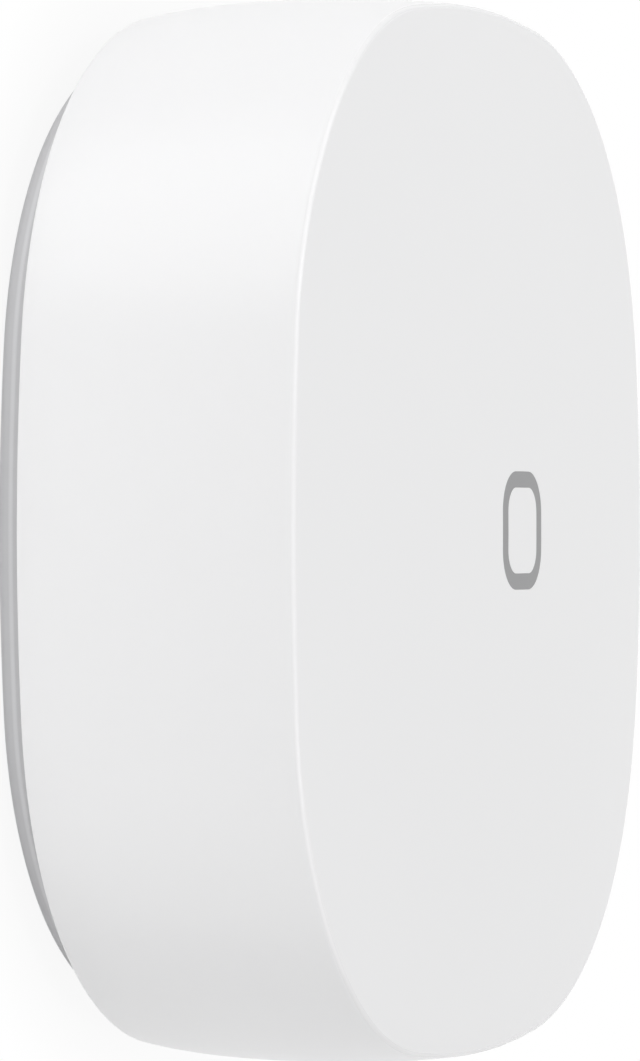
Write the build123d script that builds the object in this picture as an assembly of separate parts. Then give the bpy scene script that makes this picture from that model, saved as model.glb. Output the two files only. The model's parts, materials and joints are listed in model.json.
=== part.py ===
from build123d import *
import os
from math import atan2, degrees, sqrt

# A wireless push button about 29 mm across and 10 mm thick, lying on its back.
# The origin is the middle of the back face, +Z is the way out of the face, and
# pressing moves the cap along -Z. All sizes are in millimetres.

# Coin cell, which sets the width and most of the height
cell_diameter = 20.0
cell_thickness = 3.2
can_sheet = 0.25
can_height = 2.95
can_lip = 0.70
can_round = 0.25
plus_size = 3.0
plus_width = 0.30
plus_depth = 0.06
lid_step = 1.20
lid_drop = 0.85
lid_round = 0.12
cell_play = 0.02

# Widths from the cell out to the widest outline of the cap
bay_clearance = 0.25
bay_wall = 0.80
side_space = 1.11
chassis_wall = 1.00
skirt_gap = 0.18
skirt_wall = 0.80

# Outline: a square with bulged sides and round corners
side_radius = 42.4
corner_radius = 10.5

# Barrel of the cap's side, drawn in above and below its girth
girth_depth = 3.08
rim_draw = 0.22
skirt_draw = 0.36
skirt_curve = 2.8  # power of the curve from the girth down to the skirt's edge
skirt_lift = 0.99
dome_rise = 1.25
face_wall = 1.10
rim_round = 0.14
skirt_edge_round = 0.12
side_sections = 9
dome_reach = 1.2  # how far the dome's surface runs past the rim, as a share of it

# Grey mark in the middle of the face
mark_size = 3.22
mark_corner = 1.10
mark_stroke = 0.44
mark_depth = 0.30

# Press travel, and the catches that hold the cap on the chassis
press_travel = 0.25
catch_length = 7.0
catch_height = 0.60
catch_depth = 0.45
catch_root = 0.20
catch_above_edge = 0.51
catch_clearance = 0.10
stop_gap = 0.02

# Rear cover, its spigot and the pegs that hold it
cover_thickness = 0.80
cover_edge_round = 0.35
cover_seam = 0.03
spigot_height = 1.60
spigot_wall = 0.80
spigot_clearance = 0.05
peg_radius = 0.80
peg_height = 3.10
peg_clearance = 0.02
peg_tip = 0.20
pry_width = 5.0
pry_depth = 0.90
pry_height = 0.50

# Magnet, its keeper and the pad that the cell lies on
magnet_diameter = 12.0
magnet_thickness = 1.00
magnet_pocket = 0.30
magnet_play = 0.05
magnet_chamfer = 0.10
collar_wall = 0.80
keeper_thickness = 0.30
cell_pad_thickness = 0.38

# Chassis
floor_gap = 0.10
floor_thickness = 0.80
boss_radius = 1.40
boss_from_bay = 0.85
chassis_lip = 0.30
contact_height = 0.60

# Circuit board and its screws
board_thickness = 0.80
board_clearance = 0.16
screw_radius = 0.60
screw_length = 1.60
screw_head_radius = 1.25
screw_head_height = 0.50
screw_hole_play = 0.15
pilot_play = 0.01
pilot_spare = 0.10
recess_length = 1.30
recess_width = 0.30
recess_depth = 0.25

# Main switch in the middle of the board
switch_width = 4.8
switch_floor = 0.20
dome_spare = 0.03
dome_radius = 1.70
dome_sheet = 0.05
plunger_radius = 1.00
plunger_play = 0.06
flange_radius = 1.50
flange_height = 0.25
flange_gap = 0.05
well_radius = 1.90
switch_plate_sheet = 0.10
switch_plate_corner = 0.35
plunger_spare = 0.15
plunger_chamfer = 0.10
touch_gap = 0.02
lead_width = 0.70
lead_reach = 0.60
lead_sheet = 0.12
lead_clear = 0.05

# Boss under the face, and the pad that meets the plunger
actuator_radius = 1.60
actuator_height = 0.53
actuator_pad_radius = 1.40
actuator_pad_thickness = 0.20

# Soft posts between the board and the cap
post_radius = 0.80
post_from_edge = 1.60
post_gap = 0.03

# Radio side of the board
part_gap = 0.60
can_width = 5.6
can_length = 9.0
can_rise = 1.00
shield_sheet = 0.15
shield_corner = 0.40
vent_radius = 0.35
vent_pitch = 1.50
radio_size = 4.5
radio_height = 0.80
radio_shift = 1.20
dot_radius = 0.25
dot_depth = 0.12
dot_inset = 0.50
crystal_length = 2.5
crystal_width = 1.8
crystal_height = 0.55
crystal_base = 0.28
crystal_step = 0.12
crystal_gap = 0.25
antenna_end = 0.50
antenna_length = 5.0
antenna_width = 1.6
antenna_height = 0.60
antenna_from_edge = 1.30
antenna_shift = 4.40

# Other side of the board
memory_length = 4.0
memory_width = 3.0
memory_height = 0.90
memory_pitch = 0.90
memory_lead = 0.45
memory_lead_width = 0.36
reservoir_length = 3.5
reservoir_width = 2.8
reservoir_height = 1.20
reservoir_end = 0.50
sensor_size = 1.5
sensor_height = 0.50
sensor_port_radius = 0.25
sensor_port_depth = 0.25
led_length = 1.6
led_width = 0.80
led_height = 0.55
led_base = 0.28
led_end = 0.25
chip_length = 1.00
chip_width = 0.50
chip_height = 0.45
chip_end = 0.25
chip_step = 0.02
chip_pitch = 2.0
close_pitch = 1.1
row_step = 1.90

# Underside of the board
pad_disc_radius = 0.50
pad_disc_height = 0.05
pad_disc_pitch = 1.5
pad_disc_row = 7.0
spring_sheet = 0.15
leaf_width = 3.0
leaf_reach = 4.0
leaf_foot = 2.0
leaf_tip = 1.0
leaf_gap = 0.03
clip_width = 3.0
clip_play = 0.20
clip_gap = 0.045
clip_bend = 0.20
clip_spring = 0.30
clip_heel = 0.40
clip_touch = 1.25
clip_tip = 2.05

# Pairing switch in one corner, pressed from the battery side
connect_width = 3.0
connect_depth = 2.0
connect_from_wall = 0.25
connect_travel = 0.20
connect_floor = 0.15
connect_well_radius = 0.85
connect_flange_radius = 0.75
connect_flange_height = 0.16
connect_stem_radius = 0.50
connect_stem_play = 0.05
connect_stem_length = 0.45
connect_clearance = 0.15
connect_hole_radius = 1.10
connect_base_gap = 0.02

# Widths that follow
cell_radius = cell_diameter / 2
bay_radius = cell_radius + bay_clearance
bay_outer_radius = bay_radius + bay_wall
skirt_inner_inset = skirt_draw + skirt_wall
base_inset = skirt_inner_inset + skirt_gap
chassis_inner_inset = base_inset + chassis_wall
board_inset = chassis_inner_inset + board_clearance
half_width = bay_outer_radius + side_space + chassis_inner_inset
board_half = half_width - board_inset
lip_radius = cell_radius - can_lip
lid_radius = cell_radius - lid_step
can_x = -(switch_width / 2 + part_gap + can_width / 2)
beside_switch = switch_width / 2 + part_gap + memory_lead
above_can = can_length / 2 + part_gap + chip_length / 2

# Heights that follow, from the back face up
magnet_low = cover_thickness - magnet_pocket
keeper_low = magnet_low + magnet_thickness
cell_pad_low = keeper_low + keeper_thickness
cell_low = cell_pad_low + cell_pad_thickness + cell_play
cell_high = cell_low + cell_thickness
board_low = cell_high + contact_height
board_high = board_low + board_thickness
floor_low = cover_thickness + spigot_height + floor_gap
floor_high = floor_low + floor_thickness
chassis_low = cover_thickness + cover_seam
chassis_high = board_high + chassis_lip
well_low = board_high + switch_floor
dome_height = press_travel + dome_spare
plunger_low = well_low + dome_height + touch_gap
switch_high = plunger_low + flange_height + flange_gap
plate_high = switch_high + switch_plate_sheet
plunger_high = plate_high + press_travel + plunger_spare
pad_low = plunger_high + touch_gap
actuator_low = pad_low + actuator_pad_thickness
apex_height = actuator_low + actuator_height + face_wall
rim_height = apex_height - dome_rise
girth_height = rim_height - girth_depth
catch_low = skirt_lift + catch_above_edge
catch_high = catch_low + catch_height
can_top = cell_low + can_height
lid_low = cell_high - lid_drop
connect_dome_height = connect_travel + connect_base_gap
connect_well_depth = flange_gap + connect_flange_height + touch_gap + connect_dome_height
connect_well_high = board_low - connect_floor
connect_low = connect_well_high - connect_well_depth
connect_flange_low = connect_low + flange_gap

# Where the outline's arcs have their centres, and the angle at which they meet
side_centre = half_width - side_radius
corner_centre = (side_centre + sqrt(2 * (side_radius - corner_radius) ** 2 - side_centre ** 2)) / 2
tangent_angle = degrees(atan2(corner_centre, corner_centre - side_centre))
corner_reach = corner_centre * sqrt(2) + corner_radius

# Corner places: three have a screw boss and a peg, the fourth the pairing switch
boss_place = (bay_outer_radius + boss_from_bay) / sqrt(2)
boss_points = [(boss_place, boss_place), (-boss_place, boss_place), (-boss_place, -boss_place)]
connect_reach = corner_reach - chassis_inner_inset - connect_from_wall - connect_depth / 2
connect_place = Rot(0, 0, -45) * Pos(connect_reach, 0, 0)
post_place = board_half - post_from_edge
post_points = [(post_place, 0), (0, post_place), (-post_place, 0), (0, -post_place)]


def outline(inset, height=0.0):
    """Face of the outline, drawn in evenly by inset from the widest one."""
    arcs = []
    for quarter in range(4):
        turn = Rot(0, 0, 90 * quarter)
        side = CenterArc((side_centre, 0), side_radius - inset, -tangent_angle, 2 * tangent_angle)
        corner = CenterArc(
            (corner_centre, corner_centre), corner_radius - inset, tangent_angle, 90 - 2 * tangent_angle
        )
        arcs += [turn * side, turn * corner]
    return Pos(0, 0, height) * Face(Wire(arcs))


def slab(inset, low, high):
    return extrude(outline(inset, low), high - low)


def band(outer_inset, inner_inset, low, high):
    return slab(outer_inset, low, high) - slab(inner_inset, low, high)


def disc(radius, low, high, at=(0, 0)):
    return Pos(at[0], at[1], low) * extrude(Circle(radius), high - low)


def tube(outer_radius, inner_radius, low, high, at=(0, 0)):
    return disc(outer_radius, low, high, at) - disc(inner_radius, low, high, at)


def block(size_x, size_y, low, high, at=(0, 0)):
    return Pos(at[0], at[1], low) * extrude(Rectangle(size_x, size_y), high - low)


def side_draw(height):
    """How far the cap's side is drawn in at a height."""
    if height > girth_height:
        return rim_draw * ((height - girth_height) / girth_depth) ** 2
    return skirt_draw * ((girth_height - height) / (girth_height - skirt_lift)) ** skirt_curve


def under_dome(drop):
    """Everything under the domed face, or under the same dome lowered by drop."""
    rim_half = half_width - rim_draw
    # The dome is flat along the sides, and this share lifts its corners to meet the rim there too
    corner = (corner_reach - rim_draw) / sqrt(2) / rim_half
    corner_share = (2 * corner ** 2 - 1) / corner ** 4
    # Control points of lift = 1 - x^2 - y^2 + corner_share * x^2 * y^2, on a square of three by three
    signs = (1, -1, 1)
    rows = []
    for i in range(3):
        row = []
        for j in range(3):
            bend = dome_reach ** 2 * (signs[i] + signs[j])
            twist = corner_share * dome_reach ** 4 * signs[i] * signs[j]
            height = rim_height + dome_rise * (1 - bend + twist)
            row.append(Vector(dome_reach * rim_half * (i - 1), dome_reach * rim_half * (j - 1), height))
        rows.append(row)
    dome = Face.make_bezier_surface(rows)
    return Pos(0, 0, -drop) * extrude(dome, 2 * apex_height, dir=(0, 0, -1))


def mark_prism():
    """The ring mark's outline, from its depth up through the face."""
    outer = RectangleRounded(mark_size, mark_size, mark_corner)
    inner_size = mark_size - 2 * mark_stroke
    inner = RectangleRounded(inner_size, inner_size, mark_corner - mark_stroke)
    low = apex_height - mark_depth
    return Pos(0, 0, low) * extrude(outer - inner, 2 * mark_depth)


def catch_sides():
    """Two crossed bars that keep a band only at the middle of each side."""
    bar = block(3 * half_width, catch_length, 0, apex_height)
    return bar + Rot(0, 0, 90) * bar


def button_cap():
    top = apex_height + rim_round
    rise = (top - skirt_lift) / (side_sections - 1)
    heights = [skirt_lift + rise * i for i in range(side_sections)]
    form = loft([outline(side_draw(height), height) for height in heights]) & under_dome(0)
    form = fillet(form.faces().sort_by(Axis.Z)[-1].edges(), rim_round)
    form = fillet(form.faces().sort_by(Axis.Z)[0].edges(), skirt_edge_round)
    cavity = slab(skirt_inner_inset, 0, top) & under_dome(face_wall)
    actuator = disc(actuator_radius, actuator_low, apex_height) & under_dome(face_wall / 2)
    catches = band(skirt_inner_inset - catch_root, skirt_inner_inset + catch_depth, catch_low, catch_high)
    return form - cavity + actuator + (catches & catch_sides()) - mark_prism()


def press_mark():
    return mark_prism() & under_dome(0)


def actuator_pad():
    return disc(actuator_pad_radius, pad_low, actuator_low)


def return_pads():
    posts = Part()
    for point in post_points:
        posts += disc(post_radius, board_high, apex_height, point) & under_dome(face_wall + post_gap)
    return posts


def chassis():
    body = band(base_inset, chassis_inner_inset, chassis_low, chassis_high)
    body += slab(chassis_inner_inset - chassis_wall / 2, floor_low, floor_high)
    body += disc(bay_outer_radius, floor_low, board_low)
    for point in boss_points:
        body += disc(boss_radius, floor_low, board_low, point) & slab(base_inset, floor_low, board_low)
    body -= disc(bay_radius, 0, board_low)
    pilot_low = board_low - screw_length - pilot_spare
    for point in boss_points:
        body -= disc(screw_radius + pilot_play, pilot_low, board_low, point)
        body -= disc(peg_radius + peg_clearance, 0, cover_thickness + peg_height + floor_gap, point)
    # Room for the side contact, from the cell out to the wall
    slot_length = half_width - chassis_inner_inset - cell_radius
    slot_middle = cell_radius + slot_length / 2
    body -= block(clip_width + 2 * clip_play, slot_length, floor_high, board_low, (0, slot_middle))
    # Room for the pairing switch, and the hole that it is pressed through
    room = 2 * connect_clearance
    body -= connect_place * block(connect_depth + room, connect_width + room, floor_high, board_low)
    body -= connect_place * disc(connect_hole_radius, 0, floor_high)
    # The catches of the cap travel in these
    recess_inset = skirt_inner_inset + catch_depth + catch_clearance
    recess_low = catch_low - press_travel - catch_clearance
    recess = band(0, recess_inset, recess_low, catch_high + stop_gap) & catch_sides()
    body -= recess
    return body


def circuit_board():
    board = slab(board_inset, board_low, board_high)
    for point in boss_points:
        board -= disc(screw_radius + screw_hole_play, board_low, board_high, point)
    return board


def board_screws():
    screws = Part()
    for point in boss_points:
        head_high = board_high + screw_head_height
        screw = disc(screw_head_radius, board_high, head_high, point)
        screw += disc(screw_radius, board_low - screw_length, board_high, point)
        for turn in (0, 90):
            slot = Rot(0, 0, turn) * block(recess_length, recess_width, head_high - recess_depth, head_high)
            screw -= Pos(point[0], point[1], 0) * slot
        screws += screw
    return screws


def shield_can():
    """An open-bottomed box of thin sheet with a grid of vent holes in its roof."""
    can = extrude(RectangleRounded(can_width, can_length, shield_corner), can_rise)
    roof = can_rise - shield_sheet
    can -= block(can_width - 2 * shield_sheet, can_length - 2 * shield_sheet, 0, roof)
    for i in (-1, 0, 1):
        for j in (-2, -1, 0, 1, 2):
            can -= disc(vent_radius, roof, can_rise, (vent_pitch * i, vent_pitch * j))
    return Pos(can_x, 0, board_high) * can


def radio_chip():
    corner = radio_size / 2 - dot_inset
    chip = block(radio_size, radio_size, 0, radio_height)
    chip -= disc(dot_radius, radio_height - dot_depth, radio_height, (-corner, corner))
    return Pos(can_x, radio_shift, board_high) * chip


def crystal():
    case = block(crystal_length, crystal_width, 0, crystal_base)
    lid = block(crystal_length - 2 * crystal_step, crystal_width - 2 * crystal_step, 0, crystal_height)
    y = radio_shift - radio_size / 2 - crystal_gap - crystal_width / 2
    return Pos(can_x, y, board_high) * (case + lid)


def chip_part(length, width, height, end):
    """A small surface-mounted part: a body between two slightly larger metal ends."""
    body = block(length - end, width - 2 * chip_step, 0, height - chip_step)
    offset = (length - end) / 2
    return body + block(end, width, 0, height, (offset, 0)) + block(end, width, 0, height, (-offset, 0))


def chip_antenna():
    y = board_half - antenna_from_edge - antenna_width / 2
    body = chip_part(antenna_length, antenna_width, antenna_height, antenna_end)
    return Pos(-antenna_shift, y, board_high) * body


def memory_chip():
    """A packaged chip, raised on two rows of leads."""
    leads = Part()
    reach = memory_length / 2 + memory_lead / 2
    for side in (-1, 1):
        for i in (-1, 0, 1):
            foot = (side * reach, memory_pitch * i)
            leads += block(memory_lead, memory_lead_width, 0, lead_sheet, foot)
            shoulder = (side * (memory_length / 2 + lead_sheet / 2), memory_pitch * i)
            leads += block(lead_sheet, memory_lead_width, 0, memory_height / 2, shoulder)
    body = block(memory_length, memory_width, lead_sheet, memory_height)
    x = beside_switch + memory_length / 2
    return Pos(x, part_gap + memory_width / 2, board_high) * (body + leads)


def reservoir_capacitor():
    body = chip_part(reservoir_length, reservoir_width, reservoir_height, reservoir_end)
    x = beside_switch + reservoir_length / 2
    return Pos(x, -part_gap - reservoir_width / 2, board_high) * body


def temperature_sensor():
    chip = block(sensor_size, sensor_size, 0, sensor_height)
    chip -= disc(sensor_port_radius, sensor_height - sensor_port_depth, sensor_height)
    x = board_half - post_from_edge - post_radius / 2
    y = post_radius + part_gap + sensor_size
    return Pos(x, -y, board_high) * chip


def indicator_led():
    base = block(led_length, led_width, 0, led_base)
    lens = block(led_length - 2 * led_end, led_width, 0, led_height)
    return Pos(antenna_shift, board_half - antenna_from_edge - led_width, board_high) * (base + lens)


def chip_row(count, y, start_x, pitch):
    """A row of small chip parts, each standing across the row."""
    row = Part()
    for i in range(count):
        place = Pos(start_x + pitch * i, y, board_high) * Rot(0, 0, 90)
        row += place * chip_part(chip_length, chip_width, chip_height, chip_end)
    return row


def small_capacitors():
    row = chip_row(4, -above_can - row_step / 2, -2 * chip_pitch, chip_pitch)
    return row + chip_row(3, above_can, can_x - chip_pitch / 2, chip_pitch)


def small_resistors():
    row = chip_row(2, -above_can - row_step * 3 / 2, -2 * chip_pitch, close_pitch)
    return row + chip_row(3, above_can, chip_pitch / 2, chip_pitch)


def switch_body():
    body = block(switch_width, switch_width, board_high, switch_high)
    return body - disc(well_radius, well_low, switch_high)


def switch_contacts():
    """Four bent leads, two on each side of the switch."""
    leads = Part()
    for side in (-1, 1):
        for x in (-1, 1):
            at_x = x * (switch_width / 2 - lead_width)
            middle = side * (switch_width / 2 + lead_reach / 2)
            upright = side * (switch_width / 2 + lead_sheet / 2)
            lead = block(lead_width, lead_reach, board_high, board_high + lead_sheet, (at_x, middle))
            lead += block(lead_width, lead_sheet, board_high, switch_high - lead_clear, (at_x, upright))
            leads += lead
    return leads


def domed_shell(radius, height, sheet, floor):
    """A thin spherical dome standing on a floor."""
    outer_radius = (radius ** 2 + height ** 2) / (2 * height)
    centre = floor + height - outer_radius
    ball = Pos(0, 0, centre) * (Sphere(outer_radius) - Sphere(outer_radius - sheet))
    return ball & disc(radius + sheet, floor, floor + 2 * height)


def snap_dome():
    return domed_shell(dome_radius, dome_height, dome_sheet, well_low)


def switch_plate():
    plate = block(switch_width, switch_width, switch_high, plate_high)
    plate = chamfer(plate.edges().filter_by(Axis.Z), switch_plate_corner)
    return plate - disc(plunger_radius + plunger_play, switch_high, plate_high)


def switch_plunger():
    stem = disc(plunger_radius, plunger_low, plunger_high)
    stem = chamfer(stem.faces().sort_by(Axis.Z)[-1].edges(), plunger_chamfer)
    return stem + disc(flange_radius, plunger_low, plunger_low + flange_height)


def test_pads():
    pads = Part()
    for i in (-2, -1, 0, 1, 2):
        at = (pad_disc_pitch * i, -pad_disc_row)
        pads += disc(pad_disc_radius, board_low - pad_disc_height, board_low, at)
    return pads


def negative_contact():
    """A leaf that is soldered under the board and bends down to the cell's lid."""
    mid_high = board_low - spring_sheet / 2
    mid_low = cell_high + leaf_gap + spring_sheet / 2
    path = Polyline(
        (-leaf_reach, mid_high),
        (leaf_foot - leaf_reach, mid_high),
        (leaf_reach - leaf_tip, mid_low),
        (leaf_reach, mid_low + spring_sheet),
    )
    strip = extrude(Plane.XZ * trace(path, line_width=spring_sheet), leaf_width / 2, both=True)
    return strip & disc(cell_radius, cell_high + leaf_gap / 2, board_low)


def positive_contact():
    """A clip that is soldered under the board and springs in against the cell's side."""
    mid_high = board_low - spring_sheet / 2
    touch = cell_radius + clip_gap + spring_sheet / 2
    path = FilletPolyline(
        (board_half, mid_high),
        (bay_outer_radius, mid_high),
        (bay_outer_radius, floor_high + clip_heel),
        (touch + clip_spring, floor_high + clip_heel),
        (touch, floor_high + clip_touch),
        (touch + clip_spring, floor_high + clip_tip),
        radius=clip_bend,
    )
    strip = extrude(Plane.YZ * trace(path, line_width=spring_sheet), clip_width / 2, both=True)
    return strip & block(clip_width, 3 * half_width, floor_high, board_low)


def connect_switch_body():
    body = block(connect_depth, connect_width, connect_low, board_low)
    return connect_place * (body - disc(connect_well_radius, connect_low, connect_well_high))


def connect_switch_plate():
    low = connect_low - switch_plate_sheet
    plate = block(connect_depth, connect_width, low, connect_low)
    return connect_place * (plate - disc(connect_stem_radius + connect_stem_play, low, connect_low))


def connect_dome():
    dome = domed_shell(connect_flange_radius, connect_dome_height, dome_sheet, 0)
    return connect_place * (Pos(0, 0, connect_well_high) * (Rot(180, 0, 0) * dome))


def connect_plunger():
    flange_high = connect_flange_low + connect_flange_height
    stem = disc(connect_stem_radius, connect_flange_low - connect_stem_length, flange_high)
    return connect_place * (stem + disc(connect_flange_radius, connect_flange_low, flange_high))


def rear_cover():
    plate = slab(base_inset, 0, cover_thickness)
    plate = fillet(plate.faces().sort_by(Axis.Z)[0].edges(), cover_edge_round)
    spigot_inset = chassis_inner_inset + spigot_clearance
    low = cover_thickness / 2
    plate += band(spigot_inset, spigot_inset + spigot_wall, low, cover_thickness + spigot_height)
    for point in boss_points:
        peg = disc(peg_radius, low, cover_thickness + peg_height, point)
        plate += chamfer(peg.faces().sort_by(Axis.Z)[-1].edges(), peg_tip)
    seat = magnet_diameter / 2 + magnet_play
    plate += disc(seat + collar_wall, low, cell_pad_low)
    plate -= disc(seat, magnet_low, cell_pad_low)
    # A coin or a nail goes in here, at the middle of the +X side, to pull the cover off
    notch = extrude(Ellipse(pry_depth, pry_width / 2), pry_height)
    return plate - Pos(half_width - base_inset, 0, cover_thickness - pry_height) * notch


def magnet():
    body = disc(magnet_diameter / 2, magnet_low, keeper_low)
    return chamfer(body.edges().filter_by(GeomType.CIRCLE), magnet_chamfer)


def magnet_plate():
    return disc(magnet_diameter / 2, keeper_low, cell_pad_low)


def cell_pad():
    return disc(magnet_diameter / 2, cell_pad_low, cell_pad_low + cell_pad_thickness)


def cell_can():
    can = disc(cell_radius, cell_low, can_top)
    can = fillet(can.faces().sort_by(Axis.Z)[0].edges(), can_round)
    can -= disc(cell_radius - can_sheet, cell_low + can_sheet, can_top - can_sheet)
    can -= disc(lip_radius, can_top - can_sheet, can_top)
    plus = block(plus_size, plus_width, cell_low, cell_low + plus_depth)
    return can - plus - Rot(0, 0, 90) * plus


def cell_gasket():
    inner_radius = lid_radius + cell_play
    foot_high = can_top - can_sheet - cell_play
    foot = tube(cell_radius - can_sheet - cell_play, inner_radius, lid_low, foot_high)
    return foot + tube(lip_radius - cell_play, inner_radius, lid_low, can_top)


def cell_lid():
    lid = disc(lid_radius, lid_low, cell_high)
    lid = fillet(lid.faces().sort_by(Axis.Z)[-1].edges(), lid_round)
    return lid - disc(lid_radius - can_sheet, lid_low, cell_high - can_sheet)


def cell_core():
    low = cell_low + can_sheet
    core = disc(cell_radius - can_sheet - cell_play, low, lid_low - cell_play)
    return core + disc(lid_radius - can_sheet - cell_play, low, cell_high - can_sheet - cell_play)


makers = [
    button_cap, press_mark, actuator_pad, return_pads,
    chassis, circuit_board, board_screws,
    switch_body, switch_contacts, snap_dome, switch_plate, switch_plunger,
    shield_can, radio_chip, crystal, chip_antenna,
    memory_chip, reservoir_capacitor, temperature_sensor, indicator_led,
    small_capacitors, small_resistors, test_pads,
    negative_contact, positive_contact,
    connect_switch_body, connect_switch_plate, connect_dome, connect_plunger,
    rear_cover, magnet, magnet_plate, cell_pad,
    cell_can, cell_gasket, cell_lid, cell_core,
]

os.makedirs("parts", exist_ok=True)
for maker in makers:
    export_step(maker(), f"parts/{maker.__name__}.step")
print("overall width", round(2 * half_width, 3), "height", round(apex_height, 3))
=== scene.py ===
import bmesh
import bpy
import json
from math import atan, atan2, cos, pi, radians, sqrt, tan
from mathutils import Matrix, Vector
from types import SimpleNamespace

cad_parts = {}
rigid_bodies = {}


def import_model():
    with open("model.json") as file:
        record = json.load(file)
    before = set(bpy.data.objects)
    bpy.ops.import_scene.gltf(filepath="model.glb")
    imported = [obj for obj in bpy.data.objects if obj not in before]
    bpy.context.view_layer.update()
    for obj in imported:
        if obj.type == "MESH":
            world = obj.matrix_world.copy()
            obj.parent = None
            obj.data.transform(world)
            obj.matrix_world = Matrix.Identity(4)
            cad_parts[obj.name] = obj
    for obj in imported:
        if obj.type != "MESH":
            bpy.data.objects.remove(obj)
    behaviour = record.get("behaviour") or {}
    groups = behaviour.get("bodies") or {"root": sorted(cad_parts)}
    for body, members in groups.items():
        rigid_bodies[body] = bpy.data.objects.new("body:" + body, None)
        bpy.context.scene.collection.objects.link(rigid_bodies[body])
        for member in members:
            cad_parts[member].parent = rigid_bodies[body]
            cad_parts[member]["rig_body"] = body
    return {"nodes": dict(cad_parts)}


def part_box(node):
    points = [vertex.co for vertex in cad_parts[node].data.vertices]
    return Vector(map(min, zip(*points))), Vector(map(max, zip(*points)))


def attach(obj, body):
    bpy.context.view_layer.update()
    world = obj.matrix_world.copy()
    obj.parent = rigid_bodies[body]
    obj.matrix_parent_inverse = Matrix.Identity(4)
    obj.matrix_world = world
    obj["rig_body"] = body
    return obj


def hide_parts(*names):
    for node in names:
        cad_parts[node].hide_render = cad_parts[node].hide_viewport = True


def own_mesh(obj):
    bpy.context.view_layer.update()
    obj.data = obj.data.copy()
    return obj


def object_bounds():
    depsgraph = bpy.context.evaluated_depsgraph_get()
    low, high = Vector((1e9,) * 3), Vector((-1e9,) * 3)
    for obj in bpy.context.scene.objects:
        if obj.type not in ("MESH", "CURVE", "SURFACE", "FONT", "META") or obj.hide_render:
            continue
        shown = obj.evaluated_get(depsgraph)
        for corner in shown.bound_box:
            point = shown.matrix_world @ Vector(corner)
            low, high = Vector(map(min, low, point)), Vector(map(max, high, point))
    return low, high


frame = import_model()
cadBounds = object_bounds()
cadNodes = frame["nodes"]
mm = 0.001  # sizes below are in millimetres, and Blender's are in metres
print("frame loaded:", len(cadNodes), "nodes")


def asMaths(operation, swapped=False):  # an operator between a link and a number
    def use(link, other):
        return maths(operation, other, link) if swapped else maths(operation, link, other)
    return use


class Link:  # one output of a node; maths on it adds Math nodes to its tree
    __add__, __radd__ = asMaths("ADD"), asMaths("ADD", True)
    __sub__, __rsub__ = asMaths("SUBTRACT"), asMaths("SUBTRACT", True)
    __mul__, __rmul__ = asMaths("MULTIPLY"), asMaths("MULTIPLY", True)
    __truediv__, __rtruediv__ = asMaths("DIVIDE"), asMaths("DIVIDE", True)
    __pow__, __gt__, __lt__ = asMaths("POWER"), asMaths("GREATER_THAN"), asMaths("LESS_THAN")

    def __init__(self, kit, socket):
        self.kit = kit
        self.socket = socket

    def __abs__(self):
        return maths("ABSOLUTE", self)

    def __neg__(self):
        return maths("MULTIPLY", self, -1)


def maths(operation, *values):  # a sum that the tree already has is used again
    kit = next(value.kit for value in values if isinstance(value, Link))
    key = (operation, *values)
    if key not in kit.sums:
        kit.sums[key] = kit.node("ShaderNodeMath", dict(enumerate(values)), operation=operation)
    return kit.sums[key]


def pick(choice, chosen, other):  # chosen where choice is 1, other where it is 0
    return other + choice * (chosen - other)


def polar(radius, turn):  # X and Y of a point at a radius and a turn
    return radius * maths("COSINE", turn), radius * maths("SINE", turn)


class NodeKit:  # writes the nodes of one tree
    def __init__(self, tree):
        self.tree = tree
        self.sums = {}

    def node(self, kind, sockets=None, output=0, **settings):
        made = self.tree.nodes.new(kind)
        for name, value in settings.items():
            if name == "items":
                for _ in range(value - len(made.index_switch_items)):
                    made.index_switch_items.new()
            else:
                setattr(made, name, value)
        for key, value in (sockets or {}).items():
            if isinstance(value, Link):
                self.tree.links.new(value.socket, made.inputs[key])
            else:
                made.inputs[key].default_value = value
        return Link(self, made.outputs[output]) if made.outputs else None

    def split(self, vector):
        outputs = self.node("ShaderNodeSeparateXYZ", {0: vector}).socket.node.outputs
        return [Link(self, output) for output in outputs]

    def join(self, x, y, z):
        return self.node("ShaderNodeCombineXYZ", {0: x, 1: y, 2: z})


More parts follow.
